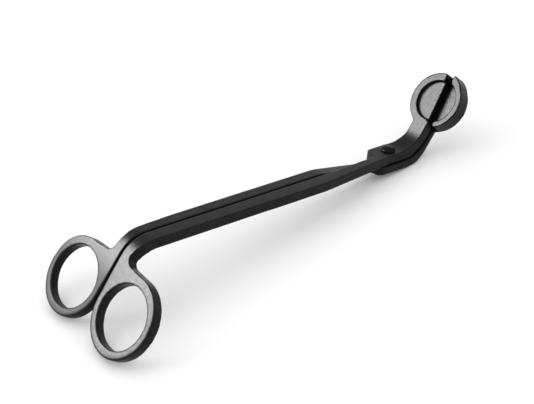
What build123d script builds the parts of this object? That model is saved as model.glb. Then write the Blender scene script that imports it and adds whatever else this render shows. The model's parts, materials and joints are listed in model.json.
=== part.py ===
from build123d import *
import os
from math import asin, atan2, cos, degrees, hypot, radians, sin, tan

# A long Z-shaped pair of scissors for candle wicks: two finger rings, a double shank, a rivet
# and a round two-part jaw. Millimetres, +Z up, +X towards the jaw, the part resting as it lies.
# The arms are drawn in the shank's own frame: X along the shank from the handle bend, Z square to
# its top face. The finished part is tilted until ring ends and head bend rest on one plane.

# finger rings, in the handle plane
finger_hole_radius = 11.05
ring_width = 3.2
ring_reach = 22.6            # handle bend to ring centre
ring_web = 14.8              # ring centre to the end of the web that joins ring and shank
shoulder_fillet = 3.4
web_lap = 1.0                # the ring's web ends this far behind the bend
shank_lap = 7.8              # and each half of the shank starts this far behind it

# shank
shank_length = 131.6         # handle bend to head bend
arm_thickness = 3.9
seam_gap = 0.8               # between the two arms where they lie side by side
back_width = 4.75
front_width = 5.6
back_bend_width = 3.9        # each arm is slimmer at the handle bend
front_bend_width = 4.1
front_flare = 3.0            # half the length over which the front arm widens again
front_flare_end = 0.25       # short of the full width, which comes slowly further on
front_flare_radius = 4.0
back_flare = 20.0            # the back arm widens slowly, up to here
back_flare_radius = 12.0
handle_angle = 55.7
handle_bend_radius = 12.0    # top face
handle_inner_radius = 9.5    # under the bend

# crossing and pivot; every reach counts from the rivet axis
pivot_to_bend = 10.0         # rivet axis to head bend
pivot_offset = 1.6           # rivet axis towards the back arm
pivot_face_gap = 0.1
lower_pivot_thickness = 3.2
ear_reach = 4.8              # sideways to the back edge of the front arm's ear
flank_reach = 4.3            # sideways to the front arm's front side
lobe_reach = 5.2             # sideways to the front edge of the back arm's lobe
lower_flank_reach = 3.4      # sideways to the back arm's back side
ear_start = 9.0              # back to the ear's shoulder
taper_start = 37.9           # back to where the front arm starts to narrow
back_taper_start = 20.9
crossing_start = 30.9        # back to where the seam starts to shift
crossing_end = 19.9
crossing_shift = 0.6         # the seam's shift towards the back where the arms cross
ramp_length = 24.3
ramp_end = 12.4              # back to the foot of the ramp
ramp_head_radius = 20.0
ramp_foot_radius = 15.0
pivot_half_length = 3.0      # the ear's widest stretch, each way
lobe_half_length = 4.0
ear_slant = 1.6              # the ear's back edge leans by this much
lobe_slant = 0.8
ear_corner_radius = 3.0
ear_foot = 0.5               # the foot of the ear lies behind its shoulder
lobe_foot = 0.2
ear_foot_radius = 1.0
lobe_foot_radius = 1.5
ear_blend_radius = 8.0
blend_radius = 30.0          # where a plain side changes direction
rivet_radius = 1.5
rivet_running_clearance = 0.05
rivet_head_radius = 2.85
rivet_head_height = 1.6
rivet_head_side = 0.6        # straight side under the dome
rivet_head_gap = 0.05
rivet_tail_radius = 2.35
rivet_tail_depth = 0.85

# neck and head, in the head plane
head_angle = 56.4
head_bend_radius = 12.8
belly_radius = 10.5
neck_interface_radius = 13.55
neck_underside_radius = 15.05
neck_gap = 0.45              # between the arms in the neck and head
neck_back = 4.5
neck_front = 2.45
lower_neck_front = 3.1
lower_neck_back = 3.0
upper_neck_start = 2.0       # head bend to where each neck has its own width
lower_neck_start = 4.0
lower_neck_blend = 12.0
lower_neck_thickness = 2.2
neck_end_gap = 0.4           # neck's end face to the dish
neck_fillet = 2.3            # where neck and round jaw meet
head_reach = 20.9            # head bend to the centre of the round jaw
jaw_radius = 11.5
upper_jaw_thickness = 4.55
dish_radius = 8.25
dish_depth = 1.65
cut_angle = 5.7              # cutting edge, turned from the neck's direction
cut_offset = -0.25
blade_overlap = 1.1          # lower blade past the upper one
lower_floor_thickness = 1.2
rim_width = 2.5
rim_tip_angle = -12.8
rim_root_angle = -146.5
nose_reach = 0.9             # point at the rim's tip, past the round
nose_start_angle = -46.0     # where the rim leaves the round for its nose
nose_swell = 0.45            # halfway between the two
tip_inner_turn = -6.0        # the rim's end face, in degrees from the tip
tip_middle_turn = -1.0
tip_outer_turn = 2.4
rim_lap = 10.0               # the tip's overlap with the plain rim, in degrees

rest_edge_radius = 0.5       # rounding of the edges that the trimmer rests on

ring_radius = finger_hole_radius + ring_width
half_seam = seam_gap / 2
pivot_x = shank_length - pivot_to_bend
ring_shoulder = ring_reach - ring_web
half_width = 2 * ring_radius + 3
tall = 60.0                  # reaches past the whole part
lower_top = arm_thickness + pivot_face_gap
lower_bottom = lower_top + lower_pivot_thickness
floor_top = upper_jaw_thickness + neck_gap
jaw_bottom = floor_top + lower_floor_thickness
neck_bottom = floor_top + lower_neck_thickness
strip_start = ring_reach + ring_radius + 1.0
neck_end = head_reach - dish_radius - neck_end_gap

handle_dir = Vector(cos(radians(handle_angle)), 0, sin(radians(handle_angle)))
handle_up = Vector(-sin(radians(handle_angle)), 0, cos(radians(handle_angle)))
head_dir = Vector(cos(radians(head_angle)), 0, sin(radians(head_angle)))
head_up = Vector(-sin(radians(head_angle)), 0, cos(radians(head_angle)))
head_bend = Vector(shank_length, 0, 0)

handle_plane = Plane(origin=(0, 0, 0), x_dir=handle_dir, z_dir=handle_up)
head_plane = Plane(origin=head_bend + head_dir * head_reach, x_dir=head_dir, z_dir=head_up)


def handle_point(along, depth):
    point = handle_dir * along - handle_up * depth
    return (point.X, point.Z)


def head_point(along, depth):
    point = head_bend + head_dir * along - head_up * depth
    return (point.X, point.Z)


def corner(start_x, angle, flat_depth, slanted_depth):
    """Where a face below the shank meets a face below the handle or head plane."""
    turn = radians(angle)
    return (start_x + (slanted_depth - flat_depth * cos(turn)) / sin(turn), -flat_depth)


def strip(top, top_radii, bottom, bottom_radii):
    """A bent band of metal, drawn from the side and as wide as either arm ever is."""
    upper = FilletPolyline(*top, radius=top_radii)
    lower = FilletPolyline(*bottom, radius=bottom_radii)
    outline = upper + lower + Line(upper @ 0, lower @ 0) + Line(upper @ 1, lower @ 1)
    return extrude(make_face(Plane.XZ * outline), amount=half_width, both=True)


def plan(corners):
    """The outline of one arm seen square to the shank, as a tall prism.

    Each corner is a point and the radius that rounds it, 0 for a sharp one.
    """
    outline = FilletPolyline(
        [point for point, radius in corners], radius=[radius for point, radius in corners],
        close=True)
    return extrude(make_face(outline), amount=tall, both=True)


def handle_outline(side):
    """One finger ring and the web that joins it to its half of the shank, as a prism."""
    centre_y = side * (ring_radius + half_seam)
    inner = side * half_seam
    outer = side * ((back_bend_width if side > 0 else front_bend_width) + half_seam)
    tang = make_face(Polyline(
        (-ring_reach, inner), (-web_lap, inner), (-web_lap, outer), (-ring_shoulder, outer),
        (ring_radius - ring_reach, centre_y), (-ring_reach, centre_y), close=True))
    blank = Pos(-ring_reach, centre_y) * Circle(ring_radius) + tang
    sharp = blank.vertices().sort_by_distance(Vector(-ring_shoulder, outer, 0))[0]
    return handle_plane * extrude(fillet(sharp, shoulder_fillet), amount=tall / 4, both=True)


def finger_hole(side):
    hole = Pos(-ring_reach, side * (ring_radius + half_seam)) * Circle(finger_hole_radius)
    return handle_plane * extrude(hole, amount=tall / 4, both=True)


def front_strip():
    top = [handle_point(-strip_start, 0), (0, 0), (shank_length, 0), head_point(neck_end, 0)]
    bottom = [
        handle_point(-strip_start, arm_thickness),
        corner(0, handle_angle, arm_thickness, arm_thickness),
        corner(shank_length, head_angle, arm_thickness, upper_jaw_thickness),
        head_point(neck_end, upper_jaw_thickness),
    ]
    return strip(top, [handle_bend_radius, head_bend_radius],
                 bottom, [handle_inner_radius, neck_underside_radius])


def back_strip():
    foot = pivot_x - ramp_end
    head = foot - ramp_length
    top = [
        handle_point(-strip_start, 0), (0, 0), (head, 0), (foot, -lower_top),
        corner(shank_length, head_angle, lower_top, floor_top), head_point(neck_end, floor_top),
    ]
    bottom = [
        handle_point(-strip_start, arm_thickness),
        corner(0, handle_angle, arm_thickness, arm_thickness),
        (head, -arm_thickness), (foot, -lower_bottom),
        corner(shank_length, head_angle, lower_bottom, neck_bottom), head_point(neck_end, neck_bottom),
    ]
    return strip(top, [handle_bend_radius, ramp_head_radius, ramp_foot_radius, neck_interface_radius],
                 bottom, [handle_inner_radius, ramp_head_radius, ramp_foot_radius, belly_radius])


def front_plan():
    """Front arm: wide half shank, long taper, then the ear with the rivet and the upper neck."""
    bend_edge = -(half_seam + front_bend_width)
    shank_edge = -(half_seam + front_width)
    ear = pivot_offset + ear_reach
    end = shank_length + tall / 3
    return plan([
        ((-shank_lap, -half_seam), 0),
        ((-shank_lap, bend_edge), 0),
        ((-front_flare, bend_edge), front_flare_radius),
        ((front_flare, shank_edge + front_flare_end), front_flare_radius),
        ((tall, shank_edge), blend_radius),
        ((pivot_x - taper_start, shank_edge), blend_radius),
        ((pivot_x - pivot_half_length, pivot_offset - flank_reach), blend_radius),
        ((end, -neck_front), 0),
        ((end, neck_back), 0),
        ((shank_length + upper_neck_start, neck_back), ear_blend_radius),
        ((pivot_x + pivot_half_length, ear), ear_blend_radius),
        ((pivot_x - ear_start + ear_slant, ear), ear_corner_radius),
        ((pivot_x - ear_start - ear_foot, crossing_shift), ear_foot_radius),
        ((pivot_x - crossing_end, crossing_shift - half_seam), blend_radius),
        ((pivot_x - crossing_start, -half_seam), blend_radius),
    ])


def back_plan():
    """Back arm: half shank, ramp down under the front arm, lobe with the rivet, lower neck."""
    bend_edge = half_seam + back_bend_width
    shank_edge = half_seam + back_width
    lobe = pivot_offset - lobe_reach
    end = shank_length + tall / 3
    return plan([
        ((-shank_lap, half_seam), 0),
        ((-shank_lap, bend_edge), 0),
        ((-web_lap, bend_edge), back_flare_radius),
        ((back_flare, shank_edge), blend_radius),
        ((pivot_x - back_taper_start, shank_edge), blend_radius),
        ((pivot_x - pivot_half_length, pivot_offset + lower_flank_reach), blend_radius),
        ((end, lower_neck_back), 0),
        ((end, -lower_neck_front), 0),
        ((shank_length + lower_neck_start, -lower_neck_front), lower_neck_blend),
        ((pivot_x + lobe_half_length, lobe), ear_blend_radius),
        ((pivot_x - ear_start + lobe_slant, lobe), ear_corner_radius),
        ((pivot_x - ear_start - lobe_foot, crossing_shift + half_seam), lobe_foot_radius),
        ((pivot_x - crossing_end, crossing_shift + half_seam), blend_radius),
        ((pivot_x - crossing_start, half_seam), blend_radius),
    ])


def slab(outline, top, bottom):
    """An outline in the head plane, from one depth below its top face to another."""
    return head_plane * Pos(0, 0, -top) * extrude(outline, amount=top - bottom)


def round_with_neck(front, back):
    """The round jaw and the start of its neck, with the corners between them rounded."""
    reach = jaw_radius + neck_fillet
    neck = Pos(-reach / 2, (back - front) / 2) * Rectangle(reach, front + back)
    outline = Circle(jaw_radius) + neck
    for side in (-front, back):
        meet = Vector(-(jaw_radius ** 2 - side ** 2) ** 0.5, side, 0)
        outline = fillet(outline.vertices().sort_by_distance(meet)[0], neck_fillet)
    return outline


def behind_line(offset):
    """Everything on the back side of the slanting cutting line."""
    block = Box(2 * tall, tall, 2 * tall, align=(Align.CENTER, Align.MIN, Align.CENTER))
    return head_plane * Pos(0, offset, 0) * Rot(0, 0, cut_angle) * block


def neck_zone():
    """The part of the neck that lies before the round jaw."""
    block = Box(tall, neck_front + neck_back, 2 * tall, align=(Align.MAX, Align.MIN, Align.CENTER))
    return head_plane * Pos(neck_end - head_reach, -neck_front, 0) * block


def upper_jaw():
    blank = slab(round_with_neck(neck_front, neck_back), 0, upper_jaw_thickness)
    blank &= behind_line(cut_offset) + neck_zone()
    return blank - slab(Circle(dish_radius), -1, dish_depth)


def on_round(radius, angle):
    return (radius * cos(radians(angle)), radius * sin(radians(angle)))


def rim_outline():
    """The C-shaped wall round the front half of the lower jaw, with a nose at its tip."""
    inner = jaw_radius - rim_width
    middle = jaw_radius - rim_width / 2
    nose = jaw_radius + nose_reach
    side = 3 * jaw_radius
    wedge = make_face(Polyline(
        (0, 0), on_round(side, rim_root_angle), (-side, -side), (side, -side),
        on_round(side, nose_start_angle + rim_lap), close=True))
    tip_side = [
        on_round(inner, nose_start_angle), on_round(inner, rim_tip_angle + tip_inner_turn),
        on_round(middle, rim_tip_angle + tip_middle_turn),
        on_round(jaw_radius, rim_tip_angle + tip_outer_turn),
        on_round(nose, rim_tip_angle),
    ]
    flare = ThreePointArc(
        tip_side[-1], on_round(jaw_radius + nose_swell, (rim_tip_angle + nose_start_angle) / 2),
        on_round(jaw_radius, nose_start_angle))
    inner_arc = ThreePointArc(
        tip_side[0], on_round(inner, (rim_tip_angle + tip_inner_turn + nose_start_angle) / 2), tip_side[1])
    tip = make_face(inner_arc + Polyline(*tip_side[1:]) + flare + Line(flare @ 1, tip_side[0]))
    root = Pos(*on_round(middle, rim_root_angle)) * Circle(rim_width / 2)
    return ((Circle(jaw_radius) - Circle(inner)) & wedge) + tip + root


def lower_jaw():
    floor = slab(round_with_neck(lower_neck_front, lower_neck_back), floor_top, jaw_bottom)
    floor -= behind_line(cut_offset + blade_overlap) - neck_zone_wide()
    return floor + slab(rim_outline(), 0, jaw_bottom)


def neck_zone_wide():
    block = Box(tall, 2 * jaw_radius, 2 * tall, align=(Align.MAX, Align.CENTER, Align.CENTER))
    return head_plane * Pos(neck_end - head_reach, 0, 0) * block


def pivot_bore(radius):
    return Pos(pivot_x, pivot_offset, 0) * Cylinder(radius, tall)


def front_arm():
    strip_part = front_strip()
    arm = (strip_part & handle_outline(-1)) + (strip_part & front_plan()) + upper_jaw()
    return arm - finger_hole(-1) - pivot_bore(rivet_radius + rivet_running_clearance)


def back_arm():
    strip_part = back_strip()
    arm = (strip_part & handle_outline(1)) + (strip_part & back_plan()) + lower_jaw()
    arm -= finger_hole(1) + pivot_bore(rivet_radius)
    sink = Cone(rivet_tail_radius, rivet_radius, rivet_tail_depth,
                align=(Align.CENTER, Align.CENTER, Align.MIN))
    return arm - Pos(pivot_x, pivot_offset, -lower_bottom) * sink


def pivot_rivet():
    """Domed head on the front arm, plain shank, and a tail spread into the back arm."""
    dome_height = rivet_head_height - rivet_head_side
    sphere = (rivet_head_radius ** 2 + dome_height ** 2) / (2 * dome_height)
    dome = Pos(0, 0, rivet_head_gap + rivet_head_height - sphere) * Sphere(sphere)
    button = Pos(0, 0, rivet_head_gap) * Cylinder(
        rivet_head_radius, rivet_head_height, align=(Align.CENTER, Align.CENTER, Align.MIN))
    shank = Pos(0, 0, -lower_bottom) * Cylinder(
        rivet_radius, lower_bottom + rivet_head_gap, align=(Align.CENTER, Align.CENTER, Align.MIN))
    tail = Pos(0, 0, -lower_bottom) * Cone(
        rivet_tail_radius, rivet_radius, rivet_tail_depth,
        align=(Align.CENTER, Align.CENTER, Align.MIN))
    return Pos(pivot_x, pivot_offset, 0) * ((dome & button) + shank + tail)


def rest_tilt():
    """Slope of the plane that touches the rounded ring ends and the belly under the head bend."""
    edge = rest_edge_radius
    ring_end = handle_point(edge - ring_reach - ring_radius, arm_thickness - edge)
    belly = corner(shank_length, head_angle, lower_bottom, neck_bottom)
    centre = (belly[0] - belly_radius * tan(radians(head_angle / 2)), belly[1] + belly_radius)
    run = centre[0] - ring_end[0]
    rise = centre[1] - ring_end[1]
    return degrees(atan2(rise, run) - asin((belly_radius - edge) / hypot(run, rise)))


def stand(parts):
    """The move to the resting pose, centred on the plane that the parts rest on."""
    turn = Rot(0, rest_tilt(), 0)
    boxes = [(turn * part).bounding_box() for part in parts]
    middle_x = (min(box.min.X for box in boxes) + max(box.max.X for box in boxes)) / 2
    middle_y = (min(box.min.Y for box in boxes) + max(box.max.Y for box in boxes)) / 2
    return Pos(-middle_x, -middle_y, -min(box.min.Z for box in boxes)) * turn


nodes = {"back_arm": back_arm(), "front_arm": front_arm(), "pivot_rivet": pivot_rivet()}
to_rest = stand(nodes.values())
os.makedirs("parts", exist_ok=True)
for name, part in nodes.items():
    export_step(Part((to_rest * part).wrapped), f"parts/{name}.step")
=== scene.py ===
import json
import math

import bmesh
import bpy
import numpy as np
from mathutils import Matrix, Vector


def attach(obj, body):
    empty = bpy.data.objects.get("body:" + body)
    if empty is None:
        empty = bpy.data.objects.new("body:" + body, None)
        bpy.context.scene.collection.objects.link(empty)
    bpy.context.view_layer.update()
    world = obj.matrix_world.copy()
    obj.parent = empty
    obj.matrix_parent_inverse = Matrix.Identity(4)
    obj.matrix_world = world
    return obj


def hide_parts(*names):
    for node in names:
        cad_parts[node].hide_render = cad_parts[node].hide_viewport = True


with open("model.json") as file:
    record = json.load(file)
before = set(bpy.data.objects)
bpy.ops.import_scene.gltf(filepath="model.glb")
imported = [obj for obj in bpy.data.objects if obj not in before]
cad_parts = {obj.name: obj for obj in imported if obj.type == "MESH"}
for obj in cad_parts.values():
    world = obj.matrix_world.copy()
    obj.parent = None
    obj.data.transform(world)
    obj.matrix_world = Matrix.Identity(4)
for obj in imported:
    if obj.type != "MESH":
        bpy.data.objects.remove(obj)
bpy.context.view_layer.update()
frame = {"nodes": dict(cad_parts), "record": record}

print("frame loaded:", ", ".join(sorted(frame["nodes"])))

view = {
    "place": (-0.210209, -0.266769, 0.249247),
    "turn": (54.970, 3.148, -39.337),  # degrees
    "lens": 76.11,
    "sensor": 36,
    "near": 0.01,
    "far": 20,
}


def placeCamera():
    lens = bpy.data.cameras.new("camera")
    lens.lens = view["lens"]
    lens.sensor_width = view["sensor"]
    lens.clip_start = view["near"]
    lens.clip_end = view["far"]
    camera = bpy.data.objects.new("camera", lens)
    camera.location = view["place"]
    camera.rotation_euler = [math.radians(turn) for turn in view["turn"]]
    bpy.context.scene.collection.objects.link(camera)
    bpy.context.scene.camera = camera


studio = {
    "aim": (0.0, 0.0, 0.012),
    "skyColor": (1.0, 1.0, 1.0, 1.0),
    "skyStrength": 1.1,
    "floorHalf": 1.5,
    "floorColor": (0.9, 0.9, 0.9, 1.0),
    "floorRoughness": 0.9,
    "lamps": {  # azimuth from +X and elevation in degrees, distance, width and height in metres, watts
        "sideLight": (155, 36, 0.9, 0.4, 0.4, 0.8),
        "topLight": (165, 64, 0.9, 0.5, 0.5, 0.6),
        "sheenCard": (138, 32, 0.9, 0.22, 0.66, 36.0),
        "headCard": (120, 33, 0.9, 0.16, 0.5, 12.0),
    },
    "sheenOnly": ("sheenCard", "headCard"),  # cards that show in the gloss but light nothing
}


def softLight(name, azimuth, elevation, distance, width, height, power):
    # an area light on a sphere around the trimmer, its face turned to the middle
    turn, lift = math.radians(azimuth), math.radians(elevation)
    way = Vector((math.cos(turn) * math.cos(lift), math.sin(turn) * math.cos(lift), math.sin(lift)))
    lamp = bpy.data.lights.new(name, "AREA")
    lamp.shape = "RECTANGLE"
    lamp.size, lamp.size_y = width, height
    lamp.energy = power
    holder = bpy.data.objects.new(name, lamp)
    holder.location = Vector(studio["aim"]) + way * distance
    holder.rotation_euler = way.to_track_quat("Z", "Y").to_euler()
    holder.visible_diffuse = name not in studio["sheenOnly"]
    bpy.context.scene.collection.objects.link(holder)


def makeStudio():
    bpy.context.scene.view_settings.view_transform = "Standard"
    sky = bpy.data.worlds.new("studioSky")
    bpy.context.scene.world = sky
    sky.use_nodes = True
    background = sky.node_tree.nodes["Background"]
    background.inputs["Color"].default_value = studio["skyColor"]
    background.inputs["Strength"].default_value = studio["skyStrength"]
    for name, lamp in studio["lamps"].items():
        softLight(name, *lamp)
    half = studio["floorHalf"]
    mesh = bpy.data.meshes.new("floor")
    corners = [(-half, -half, 0), (half, -half, 0), (half, half, 0), (-half, half, 0)]
    mesh.from_pydata(corners, [], [(0, 1, 2, 3)])
    floor = bpy.data.objects.new("floor", mesh)
    bpy.context.scene.collection.objects.link(floor)
    paper = bpy.data.materials.new("floorPaper")
    paper.use_nodes = True
    shader = paper.node_tree.nodes["Principled BSDF"]
    shader.inputs["Base Color"].default_value = studio["floorColor"]
    shader.inputs["Roughness"].default_value = studio["floorRoughness"]
    shader.inputs["Specular IOR Level"].default_value = 0.0
    mesh.materials.append(paper)
    print("studio ready")


coating = {
    "dark": (0.0034, 0.0035, 0.0042, 1.0),
    "light": (0.0075, 0.0077, 0.0088, 1.0),
    "worn": (0.012, 0.012, 0.013, 1.0),
    "cloud": (260, 2, 0.5),  # scale per metre, detail and roughness: soft patches of a few millimetres
    "mottle": (1100, 3, 0.6),  # grains of about a millimetre
    "grain": (4200, 2, 0.6),  # blasted grain under the coating
    "noiseSpan": (0.35, 0.65),  # the part of the noise that is stretched to the whole range
    "wearPatches": (0.2, 1.0),
    "roughness": (0.27, 0.37),
    "wornRoughness": 0.24,
    "dullRoughness": 0.5,
    "gloss": 0.10,
    "grainDepth": 0.000012,
    "mottleDepth": 0.00003,
}

rivetCoating = {
    **coating,
    "dark": (0.0030, 0.0031, 0.0034, 1.0),
    "light": (0.0050, 0.0051, 0.0057, 1.0),
    "roughness": (0.34, 0.42),
    "gloss": 0.055,
}


def addNode(tree, kind, **settings):
    node = tree.nodes.new(kind)
    for name, value in settings.items():
        setattr(node, name, value)
    return node


def addNoise(tree, place, scale, detail, roughness):
    noise = addNode(tree, "ShaderNodeTexNoise")
    noise.inputs["Scale"].default_value = scale
    noise.inputs["Detail"].default_value = detail
    noise.inputs["Roughness"].default_value = roughness
    tree.links.new(place, noise.inputs["Vector"])
    return noise.outputs["Fac"]


def addRange(tree, value, low, high):
    # the noise's middle span, stretched to run from low to high
    span = addNode(tree, "ShaderNodeMapRange")
    limits = (*coating["noiseSpan"], low, high)
    for socket, limit in zip(("From Min", "From Max", "To Min", "To Max"), limits):
        span.inputs[socket].default_value = limit
    tree.links.new(value, span.inputs["Value"])
    return span.outputs["Result"]


def addBlend(tree, factor, first, second):
    blend = addNode(tree, "ShaderNodeMix", data_type="RGBA")
    for socket, value in (("Factor_Float", factor), ("A_Color", first), ("B_Color", second)):
        target = next(item for item in blend.inputs if item.identifier == socket)
        if isinstance(value, tuple):
            target.default_value = value
        else:
            tree.links.new(value, target)
    return next(item for item in blend.outputs if item.identifier == "Result_Color")


def addBump(tree, height, distance, below=None):
    bump = addNode(tree, "ShaderNodeBump")
    bump.inputs["Distance"].default_value = distance
    bump.inputs["Strength"].default_value = 1.0
    tree.links.new(height, bump.inputs["Height"])
    if below is not None:
        tree.links.new(below, bump.inputs["Normal"])
    return bump.outputs["Normal"]


def addMix(tree, factor, first, second):
    mix = addNode(tree, "ShaderNodeMix", data_type="FLOAT")
    tree.links.new(factor, mix.inputs["Factor"])
    tree.links.new(first, mix.inputs["A"])
    mix.inputs["B"].default_value = second
    return mix.outputs["Result"]


def coatedSteel(name, settings):
    # satin black coat over blasted steel: cloudy patches, fine grain, edges rubbed smoother, rings duller
    metal = bpy.data.materials.new(name)
    metal.use_nodes = True
    tree = metal.node_tree
    shader = tree.nodes["Principled BSDF"]
    shader.inputs["Specular IOR Level"].default_value = settings["gloss"]
    place = addNode(tree, "ShaderNodeTexCoord").outputs["Object"]
    cloud, mottle, grain = (addNoise(tree, place, *settings[kind]) for kind in ("cloud", "mottle", "grain"))
    wear, dull = (
        addNode(tree, "ShaderNodeAttribute", attribute_name=kind).outputs["Fac"] for kind in ("wear", "dull"))
    patches = addNode(tree, "ShaderNodeMath", operation="MULTIPLY")
    tree.links.new(wear, patches.inputs[0])
    tree.links.new(addRange(tree, mottle, *settings["wearPatches"]), patches.inputs[1])
    rubbed = patches.outputs[0]
    color = addBlend(tree, addRange(tree, cloud, 0.0, 1.0), settings["dark"], settings["light"])
    color = addBlend(tree, rubbed, color, settings["worn"])
    tree.links.new(color, shader.inputs["Base Color"])
    rough = addRange(tree, mottle, *settings["roughness"])
    finish = addMix(tree, rubbed, rough, settings["wornRoughness"])
    tree.links.new(addMix(tree, dull, finish, settings["dullRoughness"]), shader.inputs["Roughness"])
    soft = addBump(tree, mottle, settings["mottleDepth"])
    tree.links.new(addBump(tree, grain, settings["grainDepth"], soft), shader.inputs["Normal"])
    return metal


arm = {
    "weld": 1e-6,
    "voxel": 0.00026,
    "smoothing": 4,  # rounds of easing, which set how round the edges get
    "ringSmoothing": {"back_finger_ring": 34, "front_finger_ring": 16},  # further rounds for the outer ring
    "ringDull": {"back_finger_ring": 0.9, "front_finger_ring": 0.15},  # share of the way to dullRoughness
    "ringEased": (0.0, 0.007),  # from the ring's middle towards the shank: full easing, and none
    "ringDulled": (0.001, 0.0085),
    "bulgeRounds": 2,
    "wearFull": 0.00005,  # bulge over its neighbours at which an edge is fully rubbed
    "wearSpread": 3,
}


def eased(values, pairs, count, rounds):
    # each round moves every value to the mean of itself and the mean of its neighbours
    for _ in range(rounds):
        total = np.zeros_like(values)
        np.add.at(total, pairs[:, 0], values[pairs[:, 1]])
        np.add.at(total, pairs[:, 1], values[pairs[:, 0]])
        values = 0.5 * values + 0.5 * total / count
    return values


def ringShare(points, mount, span):
    # 1 on the far side of the finger hole, fading to 0 over the span on the shank's side of its middle;
    # the fade s is eased to 3 s squared less 2 s cubed
    place = next(item["pos_m"] for item in frame["record"]["mounts"] if item["name"] == mount)
    share = np.clip((place[0] + span[1] - points[:, 0:1]) / (span[1] - span[0]), 0, 1)
    return share * share * (3 - 2 * share)


def roundedArm(node, body, mount, metal):
    # a closed copy of the solid, cut into even cells and eased until its edges are round
    grid = bmesh.new()
    grid.from_mesh(frame["nodes"][node].data)
    bmesh.ops.remove_doubles(grid, verts=grid.verts, dist=arm["weld"])
    sharp = bpy.data.meshes.new(node + "Sharp")
    grid.to_mesh(sharp)
    grid.free()
    block = bpy.data.objects.new(node + "Sharp", sharp)
    bpy.context.scene.collection.objects.link(block)
    cells = block.modifiers.new("cells", "REMESH")
    cells.mode = "VOXEL"
    cells.voxel_size = arm["voxel"]
    graph = bpy.context.evaluated_depsgraph_get()
    mesh = bpy.data.meshes.new_from_object(block.evaluated_get(graph))
    mesh.name = node + "Rounded"
    bpy.data.objects.remove(block)
    bpy.data.meshes.remove(sharp)
    points = np.empty(len(mesh.vertices) * 3)
    mesh.vertices.foreach_get("co", points)
    points = points.reshape(-1, 3)
    pairs = np.empty(len(mesh.edges) * 2, dtype=np.int32)
    mesh.edges.foreach_get("vertices", pairs)
    pairs = pairs.reshape(-1, 2)
    count = np.bincount(pairs.ravel(), minlength=len(points)).reshape(-1, 1)
    points = eased(points, pairs, count, arm["smoothing"])
    share = ringShare(points, mount, arm["ringEased"])
    points = points + share * (eased(points, pairs, count, arm["ringSmoothing"][mount]) - points)
    mesh.vertices.foreach_set("co", points.ravel())
    mesh.update()
    normals = np.empty(len(points) * 3)
    mesh.vertices.foreach_get("normal", normals)
    bulge = ((points - eased(points, pairs, count, arm["bulgeRounds"])) * normals.reshape(-1, 3)).sum(axis=1)
    wear = np.clip(bulge / arm["wearFull"], 0, 1).reshape(-1, 1)
    wear = eased(wear, pairs, count, arm["wearSpread"]).ravel()
    dull = (arm["ringDull"][mount] * ringShare(points, mount, arm["ringDulled"])).ravel()
    for name, values in (("wear", wear), ("dull", dull)):
        mesh.attributes.new(name, "FLOAT", "POINT").data.foreach_set("value", values.astype(np.float32))
    mesh.polygons.foreach_set("use_smooth", np.ones(len(mesh.polygons), dtype=bool))
    mesh.materials.clear()
    mesh.materials.append(metal)
    piece = bpy.data.objects.new(node + "Rounded", mesh)
    bpy.context.scene.collection.objects.link(piece)
    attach(piece, body)
    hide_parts(node)
    print(node, "rounded:", len(mesh.polygons), "faces, bulge", float(bulge.max()))


rivet = {
    "headBase": 0.00405,  # along the rivet from the joint's place
    "headSide": 0.0006,
    "headHeight": 0.0016,
    "headRadius": 0.00285,
    "shankRadius": 0.0015,
    "tailEnd": -0.0032,
    "tailDepth": 0.00085,
    "tailRadius": 0.00235,
    "edge": 0.00022,
    "tailFlat": 0.6,  # share of the tail's radius that is quite flat
    "around": 96,
    "domeSteps": 26,
}


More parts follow.
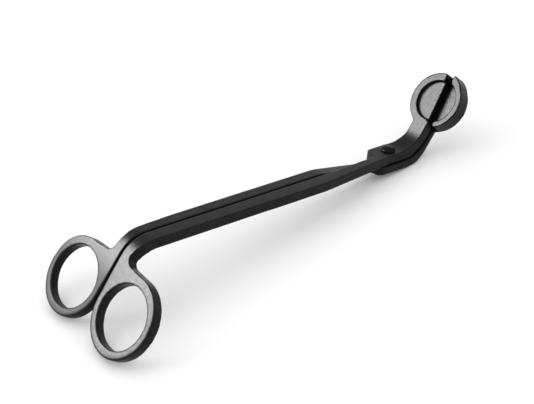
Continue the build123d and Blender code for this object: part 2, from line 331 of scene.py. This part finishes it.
def turnedSurface(name, profile, centre, axis, around):
    # profile (radius, height) carried round the axis, with both poles closed:
    # x is the radius times cos a, y the radius times sin a, z the height
    turn = Vector(axis).to_track_quat("Z", "Y").to_matrix()
    angle = np.linspace(0, 2 * math.pi, around, endpoint=False)
    radius, height = profile[1:-1, 0:1], profile[1:-1, 1:2]
    rings = np.stack([radius * np.cos(angle), radius * np.sin(angle), height + 0 * angle], axis=-1)
    poles = np.array([[0, 0, profile[0, 1]], [0, 0, profile[-1, 1]]])
    points = np.concatenate([rings.reshape(-1, 3), poles]) @ np.array(turn).T + np.array(centre)
    rows = len(radius)
    first = (np.arange(rows - 1)[:, None] * around + np.arange(around)).ravel()
    after = (np.arange(rows - 1)[:, None] * around + (np.arange(around) + 1) % around).ravel()
    sides = np.stack([first, after, after + around, first + around], axis=1)
    here, there = np.arange(around), (np.arange(around) + 1) % around
    low = np.stack([there, here, np.full(around, rows * around)], axis=1)
    last = (rows - 1) * around
    high = np.stack([here + last, there + last, np.full(around, rows * around + 1)], axis=1)
    mesh = bpy.data.meshes.new(name)
    mesh.from_pydata(points, [], sides.tolist() + low.tolist() + high.tolist())
    mesh.polygons.foreach_set("use_smooth", np.ones(len(mesh.polygons), dtype=bool))
    return mesh


def rivetProfile():
    # tail cone, plain shank, flat under the head, short side, then a dome that is part of a circle
    base, top = rivet["headBase"], rivet["headBase"] + rivet["headHeight"]
    side = base + rivet["headSide"]
    radius = rivet["headRadius"]
    rise = top - side
    ball = (radius ** 2 + rise ** 2) / (2 * rise)
    edge = rivet["edge"]
    sweep = np.linspace(math.asin((radius - edge) / ball), 0, rivet["domeSteps"])
    dome = np.stack([ball * np.sin(sweep), top - ball + ball * np.cos(sweep)], axis=1)
    tail, wide, shank = rivet["tailEnd"], rivet["tailRadius"], rivet["shankRadius"]
    corners = np.array([
        (0, tail), (rivet["tailFlat"] * wide, tail), (wide - edge, tail),
        (wide - 0.3 * edge, tail + 0.1 * edge), (wide - 0.4 * edge, tail + edge),
        (shank, tail + rivet["tailDepth"]), (shank, base),
        (radius - edge, base), (radius - 0.25 * edge, base + 0.25 * edge), (radius, base + edge),
        (radius, side - edge), (radius - 0.3 * edge, side),
    ])
    return np.concatenate([corners, dome])


def makeRivet(metal):
    joint = frame["record"]["behaviour"]["joints"][0]
    mesh = turnedSurface("rivetHead", rivetProfile(), joint["pos_m"], joint["axis"], rivet["around"])
    mesh.materials.append(metal)
    piece = bpy.data.objects.new("rivetHead", mesh)
    bpy.context.scene.collection.objects.link(piece)
    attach(piece, "back_half")
    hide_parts("pivot_rivet")
    print("rivet turned:", len(mesh.polygons), "faces")


placeCamera()
makeStudio()
armMetal = coatedSteel("armCoating", coating)
roundedArm("back_arm", "back_half", "back_finger_ring", armMetal)
roundedArm("front_arm", "front_half", "front_finger_ring", armMetal)
makeRivet(coatedSteel("rivetCoating", rivetCoating))
